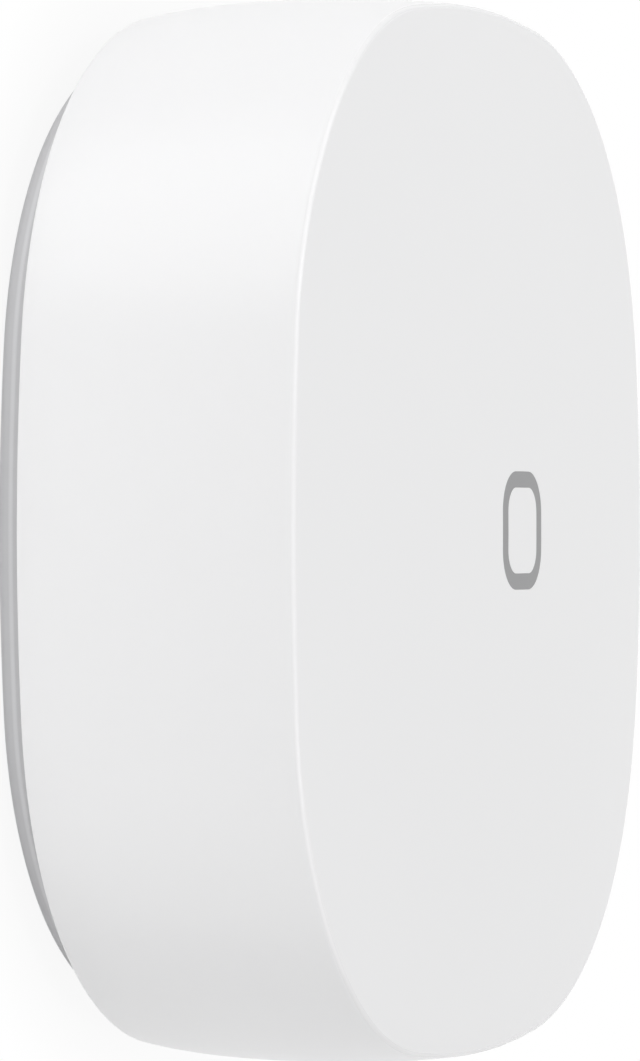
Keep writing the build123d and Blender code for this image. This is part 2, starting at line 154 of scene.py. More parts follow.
class ShapeKit(NodeKit):  # writes a piece's tree in millimetres, with an input for each size
    def __init__(self, name, sizes):
        super().__init__(bpy.data.node_groups.new(name, "GeometryNodeTree"))
        self.name = name
        face = self.tree.interface
        face.new_socket("Geometry", in_out="OUTPUT", socket_type="NodeSocketGeometry")
        self.values = {}
        for size, value in sizes.items():
            socket = face.new_socket(size, in_out="INPUT", socket_type="NodeSocketFloat")
            self.values[socket.identifier] = float(value)
        entry = self.tree.nodes.new("NodeGroupInput")
        self.size = SimpleNamespace(**{size: Link(self, entry.outputs[size]) for size in sizes})

    def position(self):
        return self.split(self.node("GeometryNodeInputPosition"))

    def shares(self):  # how far across and along its grid a point is, from 0 to 1
        across, along, _ = self.position()
        return across + 0.5, along + 0.5

    def grid(self, columns, rows, point, marked=None):
        sizes = {"Size X": 1.0, "Size Y": 1.0, "Vertices X": columns + 1, "Vertices Y": rows + 1}
        flat = self.node("GeometryNodeMeshGrid", sizes)
        if marked:  # a level over the grid, for its finish to read
            sockets = {"Geometry": flat, "Name": marked[0], "Value": marked[1]}
            flat = self.node("GeometryNodeStoreNamedAttribute", sockets)
        return self.node("GeometryNodeSetPosition", {"Geometry": flat, "Position": point})

    def listed(self, row, values):  # the value at a row of a list
        sockets = dict(enumerate((row, *values)))
        return self.node("GeometryNodeIndexSwitch", sockets, data_type="FLOAT", items=len(values))

    def lathe(self, profile, columns):  # radii and heights, from the axis and back
        across, along = self.shares()
        rows = len(profile) - 1
        row = maths("ROUND", along * rows)
        radius, height = [self.listed(row, values) for values in zip(*profile)]
        return self.grid(columns, rows, self.join(*polar(radius, across * (2 * pi)), height))

    def softBlock(self, halfX, halfY, low, high, edge):  # a block with all its edges rounded
        columns, rows, perCorner = 12, 7, 3
        across, along = self.shares()
        column, row = maths("ROUND", across * columns), maths("ROUND", along * rows)
        corner = maths("FLOOR", column / perCorner)
        turn = (corner + (column - corner * perCorner) / (perCorner - 1)) * (pi / 2)
        ahead, beside = polar(1, (corner + 0.5) * (pi / 2))
        share = sqrt(0.5)
        rise = edge * (1 - share)
        reach = self.listed(row, [0, 1, 1, 1, 1, 1, 1, 0])
        bulge = self.listed(row, [0, 0, share, 1, 1, share, 0, 0]) * edge
        height = self.listed(row, [low, low, low + rise, low + edge, high - edge, high - rise, high, high])
        roundX, roundY = polar(bulge, turn)
        x = reach * maths("SIGN", ahead) * (halfX - edge) + roundX
        y = reach * maths("SIGN", beside) * (halfY - edge) + roundY
        return self.grid(columns, rows, self.join(x, y, height))

    def prism(self, profile, low, high):  # a profile in XZ, drawn from low to high in Y
        across, along = self.shares()
        columns, rows = len(profile), 3
        column, row = maths("ROUND", across * columns), maths("ROUND", along * rows)
        middle = [sum(values) * (1 / columns) for values in zip(*profile)]
        spread = self.listed(row, [0, 1, 1, 0])
        x, z = [self.listed(column, [*values, values[0]]) for values in zip(*profile)]
        y = self.listed(row, [low, low, high, high])
        return self.grid(columns, rows, self.join(pick(spread, x, middle[0]), y, pick(spread, z, middle[1])))

    def gather(self, shapes):
        made = self.node("GeometryNodeJoinGeometry")
        for shape in shapes:
            self.tree.links.new(shape.socket, made.socket.node.inputs[0])
        return made

    def moved(self, shape, place=(0, 0, 0), rotation=(0, 0, 0)):
        sockets = {"Geometry": shape, "Translation": self.join(*place), "Rotation": rotation}
        return self.node("GeometryNodeTransform", sockets)

    def welded(self, shape):
        return self.node("GeometryNodeMergeByDistance", {"Geometry": shape, "Distance": 0.001})

    def painted(self, shape, finish):
        return self.node("GeometryNodeSetMaterial", {"Geometry": shape, "Material": finishes[finish]})

    def realized(self, shape):
        return self.node("GeometryNodeRealizeInstances", {"Geometry": shape})

    def repeated(self, shape, points, turn=0.0, wanted=True):
        sockets = {"Points": points, "Instance": shape, "Rotation": (0, 0, turn), "Selection": wanted}
        return self.realized(self.node("GeometryNodeInstanceOnPoints", sockets))

    def grow(self, shapes, finish=None, creaseAngle=35):  # ends the tree and runs it once
        whole = self.welded(self.gather(shapes))
        soft = self.node("GeometryNodeInputMeshEdgeAngle") < radians(creaseAngle)
        for domain, smooth in (("FACE", True), ("EDGE", soft)):
            sockets = {"Geometry": whole, "Shade Smooth": smooth}
            whole = self.node("GeometryNodeSetShadeSmooth", sockets, domain=domain)
        whole = self.realized(self.node("GeometryNodeTransform", {"Geometry": whole, "Scale": (mm, mm, mm)}))
        self.node("NodeGroupOutput", {0: self.painted(whole, finish) if finish else whole})
        piece = added(self.name, bpy.data.meshes.new(self.name))
        modifier = piece.modifiers.new("shape", "NODES")
        modifier.node_group = self.tree
        for identifier, value in self.values.items():
            modifier[identifier] = value
        return plain(piece)


def added(name, data):  # a new object in the scene
    made = bpy.data.objects.new(name, data)
    bpy.context.scene.collection.objects.link(made)
    return made


def plain(piece):  # the piece with its modifiers run and cleared
    old = piece.data
    piece.data = bpy.data.meshes.new_from_object(piece.evaluated_get(bpy.context.evaluated_depsgraph_get()))
    piece.modifiers.clear()
    bpy.data.meshes.remove(old)
    piece.data.name = piece.name
    return piece


def place(piece, node, replace=True):  # for a CAD node, with its body
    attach(piece, cadNodes[node]["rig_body"])
    cadNodes[node].data.materials[0].name.split(".")[0]
    if replace:
        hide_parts(node)


def corners(node):  # the lowest and highest corners of a CAD node, in millimetres
    return [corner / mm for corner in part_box(node)]


def bottom(node):
    return corners(node)[0].z


def top(node):
    return corners(node)[1].z


# Camera: where the photograph was taken from, low beside the face and rolled a quarter turn
camera = {"tilt": 70.72, "pan": -1.366, "distance": 182.8, "aimHeight": 8.7, "lens": 226.99, "film": 36.0}
clipping = 0.01, 20.0  # metres


def setCamera():
    tilt, pan = radians(camera["tilt"]), radians(camera["pan"])
    aim, away = [Matrix.Translation((0, 0, camera[key] * mm)) for key in ("aimHeight", "distance")]
    eye = added("camera", bpy.data.cameras.new("camera"))
    eye.matrix_world = aim @ Matrix.Rotation(-tilt, 4, "Y") @ away @ Matrix.Rotation(-pan, 4, "Y")
    eye.data.lens = camera["lens"]
    eye.data.sensor_width = camera["film"]
    eye.data.clip_start, eye.data.clip_end = clipping
    bpy.context.scene.camera = eye


# Stage: a white floor under the button, and a white room. The floor's size is in metres
stage = {
    "floorSize": 6.0, "floorDrop": 0.02, "floorWhite": 0.8, "shadowReach": 3.0, "shadowSamples": 16,
    "shadowGrey": 0.92, "ambient": 0.14,
}


def newKit(owner):  # a fresh tree for a material or for the world
    owner.use_nodes = True
    owner.node_tree.nodes.clear()
    return NodeKit(owner.node_tree)


def seenDirectly(kit):  # 1 where the camera sees it, also in or through a surface
    rays = "Is Camera Ray", "Is Glossy Ray", "Is Transmission Ray"
    seen, glossy, clear = [kit.node("ShaderNodeLightPath", output=ray) for ray in rays]
    return maths("MINIMUM", seen + glossy + clear, 1)


def setFloor():
    half = stage["floorSize"] / 2
    mesh = bpy.data.meshes.new("floor")
    ends = [(-half, -half), (half, -half), (half, half), (-half, half)]
    mesh.from_pydata([(*end, -stage["floorDrop"] * mm) for end in ends], [], [(0, 1, 2, 3)])
    material = bpy.data.materials.new("floorWhite")
    kit = newKit(material)
    bounce = kit.node("ShaderNodeBsdfDiffuse", {"Color": shade((stage["floorWhite"],) * 3)})
    # From below nothing hides the button; from above only its soft shadow shows
    below = kit.node("ShaderNodeNewGeometry", output="Backfacing")
    near = {"Distance": stage["shadowReach"] * mm}
    clearness = kit.node("ShaderNodeAmbientOcclusion", near, 1, samples=stage["shadowSamples"])
    light = maths("MAXIMUM", pick(clearness, 1, stage["shadowGrey"]), below)
    clear = kit.node("ShaderNodeBsdfTransparent", {"Color": kit.join(light, light, light)})
    through = maths("MAXIMUM", seenDirectly(kit), below)
    mixed = kit.node("ShaderNodeMixShader", {0: through, 1: bounce, 2: clear})
    kit.node("ShaderNodeOutputMaterial", {"Surface": mixed})
    mesh.materials.append(material)
    floor = added("floor", mesh)
    floor.visible_shadow = False


def setRoom():
    world = bpy.data.worlds.new("room")
    kit = newKit(world)
    level = pick(seenDirectly(kit), 1.0, stage["ambient"])
    air = kit.node("ShaderNodeBackground", {"Color": (1, 1, 1, 1), "Strength": level})
    kit.node("ShaderNodeOutputWorld", {"Surface": air})
    world.cycles.sampling_method = "NONE"
    bpy.context.scene.world = world
    bpy.context.scene.view_settings.view_transform = "Standard"


# Lamps: soft boxes at one distance, each with the way to it and its power in watts
softBox = {"distance": 0.5, "width": 0.5}  # metres
lamps = {
    "faceBox": {"way": (0, 0, 1), "power": 0.46},
    "faceTopBox": {"way": (0, 0.6, 1), "power": 1.18},
    "faceLowBox": {"way": (0, -0.6, 1), "power": 0.75},
    "sideTopBox": {"way": (-1, 0.6, 0.3), "power": 0.72, "mirrored": False},
    "lowBox": {"way": (-0.2, -1, 0.3), "power": 0.24},
    "backTopBox": {"way": (-0.7, 0.9, -0.35), "power": 0.82},
    "backLowBox": {"way": (-0.7, -0.9, -0.35), "power": 0.54},
}


def setLamps():
    for name, lamp in lamps.items():
        light = bpy.data.lights.new(name, "AREA")
        light.shape = "DISK"
        light.size = softBox["width"]
        light.energy = lamp["power"]
        light.cycles.use_multiple_importance_sampling = False  # the floor takes nothing from the low ones
        way = Vector(lamp["way"]).normalized()
        box = added(name, light)
        box.location = way * softBox["distance"]
        box.rotation_mode = "QUATERNION"
        box.rotation_quaternion = way.to_track_quat("Z", "Y")
        box.visible_camera = False
        box.visible_glossy = lamp.get("mirrored", True)  # a low lamp would wash out the face


# Finishes. Levels are linear, grain sizes in millimetres
speckLevel, copperLevel = 0.66, 0.42  # how high a noise rises before a speck or a copper pour shows
dustColour = (0.5, 0.5, 0.48)
fineDetail = 3.0  # octaves of the noise in scratches and fibres
lacquer = {"Coat Weight": 0.3, "Coat Roughness": 0.12}


def shade(colour, factor=1.0):
    return tuple(level * factor for level in colour) + (1,)


def noise(kit, grain, detail=2.0, stretch=(1, 1, 1)):
    scale = tuple(share / (grain * mm) for share in stretch)
    return grained(kit, kit.node("ShaderNodeMapping", {"Vector": kit.spot, "Scale": scale}), detail)


def grained(kit, vector, detail):
    return kit.node("ShaderNodeTexNoise", {"Vector": vector, "Scale": 1.0, "Detail": detail})


def waves(length, size):  # a sine along a length, with its period
    return maths("SINE", length * (2 * pi / (size * mm)))


def blend(kit, share, first, second):
    return kit.node("ShaderNodeMix", {0: share, 6: first, 7: second}, 2, data_type="RGBA")


def coat(kit, colour, rough, height, depth, metallic=0.0, fixed=None):
    raised = kit.node("ShaderNodeBump", {"Height": height, "Distance": depth * mm})
    sockets = {"Base Color": colour, "Roughness": rough, "Metallic": metallic, "Normal": raised}
    surface = kit.node("ShaderNodeBsdfPrincipled", {**sockets, **(fixed or {})})
    kit.node("ShaderNodeOutputMaterial", {"Surface": surface})


# Spark-eroded mould texture over a faint flow in the colour
def mouldedPlastic(kit, colour, mottle, flow, rough, grain=0.03, spread=0.1, depth=0.002, specks=0, wear=None,
                   fixed=None):
    grains = noise(kit, grain)
    shown = blend(kit, noise(kit, flow), shade(colour, 1 - mottle), shade(colour, 1 + mottle))
    if specks:  # filler grains of another tone
        shown = blend(kit, noise(kit, grain * 2, 1.0) > speckLevel, shown, shade(colour, specks))
    rough += (grains - 0.5) * spread
    if wear:  # an edge that fingers polish to a lower roughness, with a painted highlight that lightens its colour
        polishedAndLit = kit.node("ShaderNodeAttribute", output="Fac", attribute_name=wear["where"])
        rough = pick(polishedAndLit, wear["rough"], rough)
        shown = blend(kit, polishedAndLit, shown, shade(colour, wear["shade"]))
    coat(kit, shown, rough, grains, depth, fixed=fixed)


# Scratches run one way, or round the middle of a turned piece
def workedMetal(kit, colour, grain, stain, rough, tarnish=0.15, spread=0.14, depth=0.0008, stretch=(1, 1, 1),
                turned=False):
    if turned:
        x, y, z = kit.split(kit.spot)
        radius = maths("SQRT", x * x + y * y)
        around = maths("ARCTAN2", y, x) * 1.5
        lines = grained(kit, kit.join(radius / (grain * mm), around, z / (grain * mm)), fineDetail)
    else:
        lines = noise(kit, grain, fineDetail, stretch)
    stains = noise(kit, stain)
    shown = blend(kit, lines, shade(colour, 0.9), shade(colour, 1.06))
    shown = blend(kit, stains * tarnish, shown, shade(colour, 0.55))
    rough += (lines - 0.5) * spread
    coat(kit, shown, rough + (stains - 0.5) * 0.1, lines, depth, metallic=1.0)


def softRubber(kit, colour, cell, contrast, dust, rough, depth):  # cells or a soft skin, with a little dust
    cells = kit.node("ShaderNodeTexVoronoi", {"Vector": kit.spot, "Scale": 1 / (cell * mm)})
    dusty = noise(kit, cell * 3)
    shown = blend(kit, cells * contrast, shade(colour), shade(colour, 0.35))
    shown = blend(kit, dusty * dust, shown, shade(dustColour))
    coat(kit, shown, rough + (dusty - 0.5) * 0.1, cells, depth)


def solderMask(kit, colour, weave, pour, rough, depth):  # lacquer over copper and woven glass
    x, y, _ = kit.split(kit.spot)
    woven = waves(x, weave) * waves(y, weave) * 0.5 + 0.5
    copper = noise(kit, pour, 0.0) > copperLevel
    shown = blend(kit, copper, shade(colour, 0.82), shade(colour, 1.25))
    shown = blend(kit, woven * 0.25, shown, shade(colour, 0.6))
    coat(kit, shown, rough + woven * 0.08, woven * 0.3 + copper, depth, fixed=lacquer)


def glassFibre(kit, colour, ply, fibre, rough, depth):  # the sawn edge of the board, in plies
    plies = waves(kit.split(kit.spot)[2], ply) * 0.5 + 0.5
    fibres = noise(kit, fibre, fineDetail, (1, 1, 6))
    shown = blend(kit, plies * 0.6, shade(colour, 1.1), shade(colour, 0.7))
    shown = blend(kit, fibres * 0.5, shown, shade(colour, 0.5))
    coat(kit, shown, rough + fibres * 0.1, fibres, depth)


plastics = {
    # capWhite's rim is polished and has a painted highlight: its shade over 1 lightens the colour there
    "capWhite": dict(colour=(0.83, 0.83, 0.835), mottle=0.004, flow=6, grain=0.07, rough=0.34, spread=0.05,
        depth=0.0008, wear=dict(where="rimWear", rough=0.24, shade=1.01)),
    "markGrey": dict(colour=(0.27, 0.27, 0.275), mottle=0.01, flow=1, grain=0.05, rough=0.45, spread=0.05,
        depth=0.001),
    # coverGrey's bead is a painted highlight, a lighter strip on the wall, with a little polish
    "coverGrey": dict(colour=(0.59, 0.59, 0.6), mottle=0.01, flow=4, grain=0.09, rough=0.55, spread=0.08,
        depth=0.003, wear=dict(where="beadWear", rough=0.45, shade=1.15), fixed={"Specular IOR Level": 0.2}),
    "frameGrey": dict(colour=(0.6, 0.6, 0.605), mottle=0.015, flow=5, grain=0.08, rough=0.5, depth=0.004),
    "switchBlack": dict(colour=(0.02, 0.02, 0.022), mottle=0.1, flow=0.8, grain=0.04, rough=0.42, spread=0.12,
        depth=0.003),
    "nylonNatural": dict(colour=(0.66, 0.64, 0.58), mottle=0.03, flow=0.7, grain=0.04, rough=0.4),
    "gasketWhite": dict(colour=(0.72, 0.72, 0.69), mottle=0.04, flow=1.5, grain=0.05, rough=0.45),
    "chipBlack": dict(colour=(0.018, 0.018, 0.02), mottle=0.08, flow=1.2, grain=0.025, rough=0.52,
        spread=0.16, depth=0.003, specks=2.6),
    "ceramicTan": dict(colour=(0.34, 0.22, 0.13), mottle=0.06, flow=0.5, rough=0.38, specks=0.75),
    "ceramicWhite": dict(colour=(0.74, 0.73, 0.69), mottle=0.03, flow=0.8, rough=0.34, specks=0.86),
    "resinYellow": dict(colour=(0.58, 0.33, 0.05), mottle=0.06, flow=0.8, rough=0.42, spread=0.12,
        depth=0.003, specks=0.8),
    "lensResin": dict(colour=(0.82, 0.7, 0.28), mottle=0.05, flow=0.3, grain=0.02, rough=0.18, spread=0.06,
        depth=0.0005, fixed={"Coat Roughness": 0.1}),
    "trackGreen": dict(colour=(0.03, 0.165, 0.062), mottle=0.06, flow=1, rough=0.26, spread=0.06,
        depth=0.0006, fixed=lacquer),
    "cellPowder": dict(colour=(0.015, 0.015, 0.015), mottle=0.2, flow=1, grain=0.06, rough=0.8, spread=0.2,
        depth=0.01, specks=3),
}
metals = {
    "zincSteel": dict(colour=(0.56, 0.57, 0.58), grain=0.05, stretch=(1, 6, 1), stain=0.8, tarnish=0.3,
        rough=0.34, spread=0.16, depth=0.001),
    "tinSheet": dict(colour=(0.66, 0.66, 0.63), grain=0.04, stretch=(1, 0.06, 1), stain=2.5, tarnish=0.18,
        rough=0.27),
    "springBronze": dict(colour=(0.7, 0.44, 0.2), grain=0.03, stretch=(0.06, 1, 1), stain=1.2, tarnish=0.25,
        rough=0.28),
    "goldFlash": dict(colour=(0.86, 0.6, 0.24), grain=0.03, stain=0.5, tarnish=0.12, rough=0.24, spread=0.1,
        depth=0.0006),
    "solderTin": dict(colour=(0.68, 0.68, 0.67), grain=0.06, stain=0.4, tarnish=0.2, rough=0.22, spread=0.12,
        depth=0.0015),
    "nickelPlate": dict(colour=(0.62, 0.6, 0.56), grain=0.1, stain=1.5, rough=0.16, spread=0.08, depth=0.0004,
        turned=True),
    "cellSteel": dict(colour=(0.64, 0.64, 0.63), grain=0.05, stain=3, rough=0.26, spread=0.16, turned=True),
}
rubbers = {
    "siliconeMilk": dict(colour=(0.68, 0.68, 0.65), cell=0.2, contrast=0.05, dust=0.1, rough=0.55,
        depth=0.001),
    "foamBlack": dict(colour=(0.035, 0.035, 0.037), cell=0.16, contrast=0.8, dust=0.08, rough=0.88,
        depth=0.03),
}
boardMask = {"maskGreen": dict(colour=(0.018, 0.105, 0.04), weave=0.45, pour=2.6, rough=0.24, depth=0.004)}
boardEdge = {"sawnFibre": dict(colour=(0.4, 0.36, 0.2), ply=0.16, fibre=0.05, rough=0.6, depth=0.006)}
finishTables = {
    mouldedPlastic: plastics, workedMetal: metals, softRubber: rubbers, solderMask: boardMask,
    glassFibre: boardEdge,
}


def mixFinish(name, mix, look):
    material = bpy.data.materials.new(name)
    kit = newKit(material)
    kit.spot = kit.node("ShaderNodeTexCoord", output="Object")
    mix(kit, **look)
    return material


setCamera()
setFloor()
setRoom()
setLamps()
print("camera, stage and lamps set")
finishes = {}
for mix, looks in finishTables.items():
    finishes |= {name: mixFinish(name, mix, look) for name, look in looks.items()}
print("finishes mixed:", len(finishes))

# Outline of the button: bulged sides and round corners, met at one tangent
sideColumns, cornerColumns = 24, 40
quarterColumns = sideColumns + cornerColumns


def withCentres(sizes):
    sideCentre = sizes["halfWidth"] - sizes["sideRadius"]
    apart = sizes["sideRadius"] - sizes["cornerRadius"]
    cornerCentre = (sideCentre + sqrt(2 * apart ** 2 - sideCentre ** 2)) / 2
    sideAngle = atan2(cornerCentre, cornerCentre - sideCentre)
    return {**sizes, "sideCentre": sideCentre, "cornerCentre": cornerCentre, "sideAngle": sideAngle}


outline = withCentres({"halfWidth": cadBounds[1].x / mm, "sideRadius": 42.4, "cornerRadius": 10.5})


class Ring:  # a walk over a piece, all round the outline; a quarter is a side and a corner
    def __init__(self, kit, column=None):
        self.kit = kit
        self.bands = []
        across, self.along = kit.shares()
        if column is None:
            column = maths("ROUND", across * (4 * quarterColumns))
        quarter = maths("FLOOR", column / quarterColumns)
        self.column = column - quarter * quarterColumns
        self.turn = quarter * (pi / 2)
        self.onSide = self.column < sideColumns + 0.5
        self.sideShare = self.column / sideColumns
        self.cornerShare = (self.column - sideColumns) / cornerColumns
        sideAngle = kit.size.sideAngle
        cornerTurn = sideAngle + self.cornerShare * (pi / 2 - 2 * sideAngle)
        self.facing = pick(self.onSide, (self.sideShare * 2 - 1) * sideAngle, cornerTurn)
        double = maths("SINE", self.facing * 2)
        self.cornerness = double * double  # 0 at the middle of a side, 1 at the middle of a corner

    def parallel(self, inset):  # the outline drawn in by inset
        size, onSide = self.kit.size, self.onSide
        x, y = polar(pick(onSide, size.sideRadius, size.cornerRadius) - inset, self.facing)
        return pick(onSide, size.sideCentre, size.cornerCentre) + x, pick(onSide, 0, size.cornerCentre) + y

    def roundSquare(self, half, corner):
        straight = half - corner
        x, y = polar(corner, self.cornerShare * (pi / 2))
        alongSide = (self.sideShare * 2 - 1) * straight
        return pick(self.onSide, half, straight + x), pick(self.onSide, alongSide, straight + y)

    def circle(self, radius):
        return polar(radius, (self.column - sideColumns / 2) * (pi / 2 / quarterColumns))

    def faceHeight(self, x, y):  # of the cap's dome
        size = self.kit.size
        across, up = x / size.rimHalf, y / size.rimHalf
        across, up = across * across, up * up
        return size.rimHeight + size.domeRise * (1 - across - up + size.cornerLift * across * up)

    def turned(self, x, y, z):  # the point in its own quarter
        sockets = {"Vector": self.kit.join(x, y, z), "Angle": self.turn}
        return self.kit.node("ShaderNodeVectorRotate", sockets, rotation_type="Z_AXIS")

    def band(self, rows, x, y, z, polishedAndLit=None):  # walked so that its faces point outwards
        fromMiddle = self.along * 2 - 1
        marked = (polishedAndLit, 1 - fromMiddle * fromMiddle) if polishedAndLit else None
        self.bands.append(self.kit.grid(4 * quarterColumns, rows, self.turned(x, y, z), marked))

    def between(self, start, end):
        return [first + self.along * (second - first) for first, second in zip(start, end)]

    def start(self, shape, height):
        self.last = (*shape, height)

    def to(self, *places, rows=1, polishedAndLit=None):  # straight on to each of these places
        for shape, height in places:
            before = self.last
            self.start(shape, height)
            self.band(rows, *self.between(before, self.last), polishedAndLit)

    def bend(self, rows, corner, end, turn=pi / 2, polishedAndLit=None):  # an arc, tangent to a corner's legs
        before = self.last
        self.start(*end)
        rest = 1 - self.along
        shares = [rest * rest, 2 * cos(turn / 2) * rest * self.along, self.along * self.along]
        total = shares[0] + shares[1] + shares[2]
        ways = zip(before, (*corner[0], corner[1]), self.last)
        self.band(rows, *[sum(s * v for s, v in zip(shares, values)) / total for values in ways], polishedAndLit)

    def domed(self, rows, shape, drop):  # on, a drop below the cap's face
        x, y = self.between(self.last[:2], shape)
        self.start(shape, self.faceHeight(*shape) - drop)
        self.band(rows, x, y, self.faceHeight(x, y) - drop)

    def over(self, sides, high, lip):  # over the rounded top of a wall
        outer, outerTop, innerTop, inner = sides
        self.to((outer, high - lip))
        self.bend(3, (outer, high), (outerTop, high))
        self.to((innerTop, high))
        self.bend(3, (inner, high), (inner, high - lip))


# Cap: one moulding, with catches in its skirt, the switch boss and the pocket for the mark
cap = {
    "rimDraw": 0.22, "girthDepth": 3.08, "skirtDraw": 0.36, "skirtPower": 2.8, "domeRise": 1.25,
    "faceWall": 1.1, "skirtWall": 0.8, "rimRound": 0.2, "edgeRound": 0.12, "bossRadius": 1.6,
    "cornerFlare": 0.2, "catchLength": 7.0, "catchHeight": 0.6, "catchDepth": 0.45, "catchLift": 0.51,
}
mark = {"markHalf": corners("press_mark")[1].x, "markCorner": 1.1, "markStroke": 0.44}
markFit = {"gap": 0.004, "sink": 0.004}
middle = (0, 0)


def faceValues():  # sizes of the domed face and of the mark in it
    rimHalf = outline["halfWidth"] - cap["rimDraw"]
    reach = outline["cornerCentre"] * sqrt(2) + outline["cornerRadius"] - cap["rimDraw"]
    place = reach / sqrt(2) / rimHalf
    return {
        **outline, **mark, "markLow": bottom("press_mark"), "rimHalf": rimHalf, "domeRise": cap["domeRise"],
        "rimHeight": top("button_cap") - cap["domeRise"], "cornerLift": (2 * place ** 2 - 1) / place ** 4,
    }


def buildCap():
    values = {**cap, **faceValues(), "skirtLow": bottom("button_cap"), "bossLow": top("actuator_pad")}
    kit = ShapeKit("cap_shell", values)
    size = kit.size
    ring = Ring(kit)
    girth = size.rimHeight - size.girthDepth

    def drawnIn(height):  # how far the barrel side stands in from its girth
        above = maths("MAXIMUM", (height - girth) / size.girthDepth, 0)
        under = maths("MAXIMUM", (girth - height) / (girth - size.skirtLow), 0)
        skirt = size.skirtDraw * (1 - size.cornerFlare * ring.cornerness)
        return size.rimDraw * above * above + skirt * under ** size.skirtPower

    # Height of the rim's edge, where side and dome meet
    edge = size.rimHeight
    for _ in range(2):
        edge = ring.faceHeight(*ring.parallel(drawnIn(edge)))
    sideSlope = atan(2 * cap["rimDraw"] / cap["girthDepth"])
    faceSlope = atan(2 * cap["domeRise"] / values["rimHalf"])
    rimTurn = pi / 2 - sideSlope - faceSlope
    reach = size.rimRound * tan(rimTurn / 2)
    inner = size.skirtDraw + size.skirtWall
    boss = ring.circle(size.bossRadius)
    ceiling = ring.parallel(inner)
    ring.start(middle, size.bossLow)
    ring.to((boss, size.bossLow), rows=2)
    ring.to((boss, ring.faceHeight(*boss) - size.faceWall))
    ring.domed(14, ceiling, size.faceWall)
    # Down the inner wall, over the catch in the middle of each side
    low = size.skirtLow
    catchLow = low + size.catchLift
    catchHigh = catchLow + size.catchHeight
    caught = ring.onSide * (abs(ceiling[1]) < size.catchLength / 2)
    bulge = ring.parallel(inner + caught * size.catchDepth)
    ring.to((ceiling, catchHigh), rows=4)
    ring.to((bulge, catchHigh), (bulge, catchLow), (ceiling, catchLow), (ceiling, low))
    # Round the skirt's edge and up the barrel
    roundHigh = low + size.edgeRound
    ring.to((ring.parallel(drawnIn(low) + size.edgeRound), low))
    ring.bend(6, (ring.parallel(drawnIn(low)), low), (ring.parallel(drawnIn(roundHigh)), roundHigh))
    sideTop = edge - reach
    height = roundHigh + ring.along * (sideTop - roundHigh)
    ring.band(28, *ring.parallel(drawnIn(height)), height)
    # Over the rim and in to the mark
    ring.start(ring.parallel(drawnIn(sideTop)), sideTop)
    faceStart = ring.parallel(drawnIn(edge) + reach)
    rimCorner = (ring.parallel(drawnIn(edge)), edge)
    # the rim's band is polished and carries a painted highlight
    ring.bend(10, rimCorner, (faceStart, ring.faceHeight(*faceStart)), rimTurn, "rimWear")
    markOuter = ring.roundSquare(size.markHalf, size.markCorner)
    markInner = ring.roundSquare(size.markHalf - size.markStroke, size.markCorner - size.markStroke)
    ring.domed(30, markOuter, 0)
    ring.to((markOuter, size.markLow), (markInner, size.markLow))
    ring.to((markInner, ring.faceHeight(*markInner)))
    ring.domed(5, middle, 0)
    return kit.grow(ring.bands, "capWhite")


def buildMark():
    kit = ShapeKit("mark_ring", {**faceValues(), **markFit})
    size = kit.size
    ring = Ring(kit)
    stroke = size.markStroke - size.gap
    outer = ring.roundSquare(size.markHalf - size.gap, size.markCorner - size.gap)
    inner = ring.roundSquare(size.markHalf - stroke, size.markCorner - stroke)
    ring.start(inner, size.markLow)
    ring.to((outer, size.markLow), (outer, ring.faceHeight(*outer) - size.sink))
    ring.domed(4, inner, size.sink)
    ring.to((inner, size.markLow))
    return kit.grow(ring.bands, "markGrey")


place(buildCap(), "button_cap")
place(buildMark(), "press_mark")
print("cap and mark built")

# Rear cover: a flat plate with a round edge, a spigot, three pegs and the magnet's seat
screwHead = 1.25  # radius of the screw heads over the pegs
cover = {
    "plateInset": outline["halfWidth"] - corners("rear_cover")[1].y, "thickness": 0.8, "edgeRound": 0.35,
    "lipRound": 0.06, "beadHeight": 0.16, "bevelHeight": 0.08, "grooveDepth": 0.04, "spigotInset": 2.39,
    "spigotWall": 0.8, "spigotTop": 2.4, "seatRadius": 6.05, "seatWall": 0.8, "seatTop": 1.8,
    "seatFloor": 0.5, "notchWidth": 5.0, "notchDepth": 0.9, "notchHeight": 0.45, "pegRadius": 0.8,
    "pegTop": top("rear_cover"), "pegTip": 0.2, "pegRoot": 0.4,
    "pegPlace": corners("board_screws")[1].x - screwHead,
}


def threeCorners(kit, shape, spot, turn=0.0):  # at every corner but the pairing switch's
    spots = kit.node("GeometryNodeMeshCircle", {"Vertices": 4, "Radius": spot * sqrt(2)})
    x, y, _ = kit.position()
    spots = kit.moved(spots, rotation=(0, 0, pi / 4))
    return kit.repeated(shape, spots, turn, maths("MAXIMUM", x < 0, y > 0))


def buildPegs(kit):
    size = kit.size
    radius, root, high, tip = size.pegRadius, size.pegRoot, size.pegTop, size.pegTip
    profile = [(0, root), (radius, root), (radius, high - tip), (radius - tip, high), (0, high)]
    return threeCorners(kit, kit.lathe(profile, 40), size.pegPlace)


